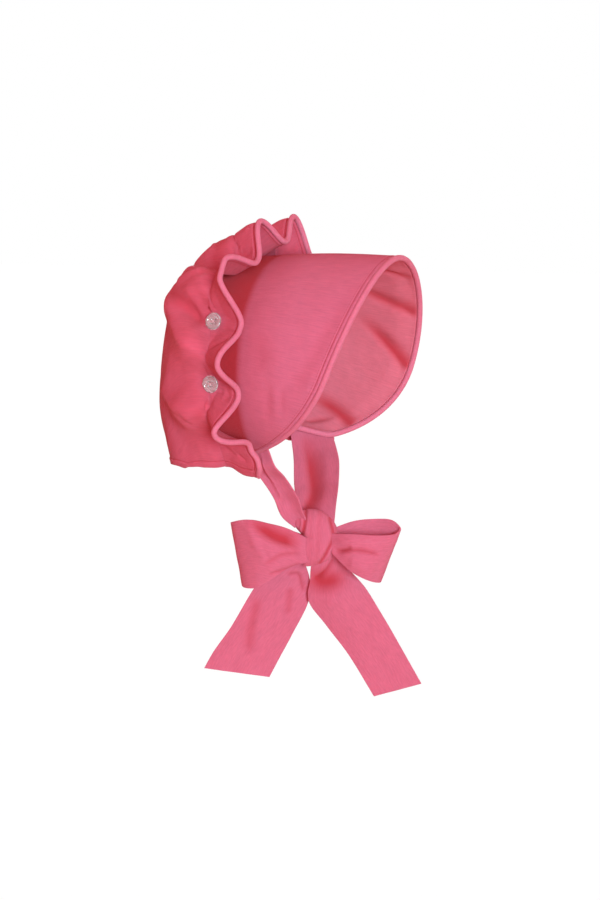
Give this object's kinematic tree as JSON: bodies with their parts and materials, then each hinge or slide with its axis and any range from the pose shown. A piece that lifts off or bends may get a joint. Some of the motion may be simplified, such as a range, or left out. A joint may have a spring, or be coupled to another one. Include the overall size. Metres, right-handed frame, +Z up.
{
  "type": "baby sun bonnet",
  "caption": "Soft cotton baby sun bonnet with a deep stiff brim, a gathered crown buttoned on with a wavy ruffle, and two cloth ties knotted in a bow under the chin.",
  "frame": {"origin": "inside the top of the bonnet on the button line, where it rests on the head", "axes": "+Z up, -Y the way the face looks, +X the wearer's left"},
  "size_m": [0.2133, 0.1879, 0.3679],
  "materials": {
    "pink_cotton": "plain woven cotton with fine slubs, matte",
    "lining_cotton": "plain woven cotton, paler and slightly creased, matte",
    "piping_cotton": "cotton bias strip over a cord, soft sheen",
    "clear_button": "clear moulded plastic with a soft gloss"
  },
  "bodies": {
    "root": {"brim": "pink_cotton", "brim_lining": "lining_cotton", "brim_piping": "piping_cotton", "crown": "pink_cotton", "ruffle_piping": "piping_cotton", "button_1": "clear_button", "button_2": "clear_button", "button_3": "clear_button", "button_4": "clear_button", "button_5": "clear_button", "button_6": "clear_button", "button_7": "clear_button", "knot": "pink_cotton", "tie_left": "pink_cotton", "tie_right": "pink_cotton", "bow_loop_front": "pink_cotton", "bow_loop_back": "pink_cotton", "bow_tail_front": "pink_cotton", "bow_tail_back": "pink_cotton"}
  },
  "joints": []
}
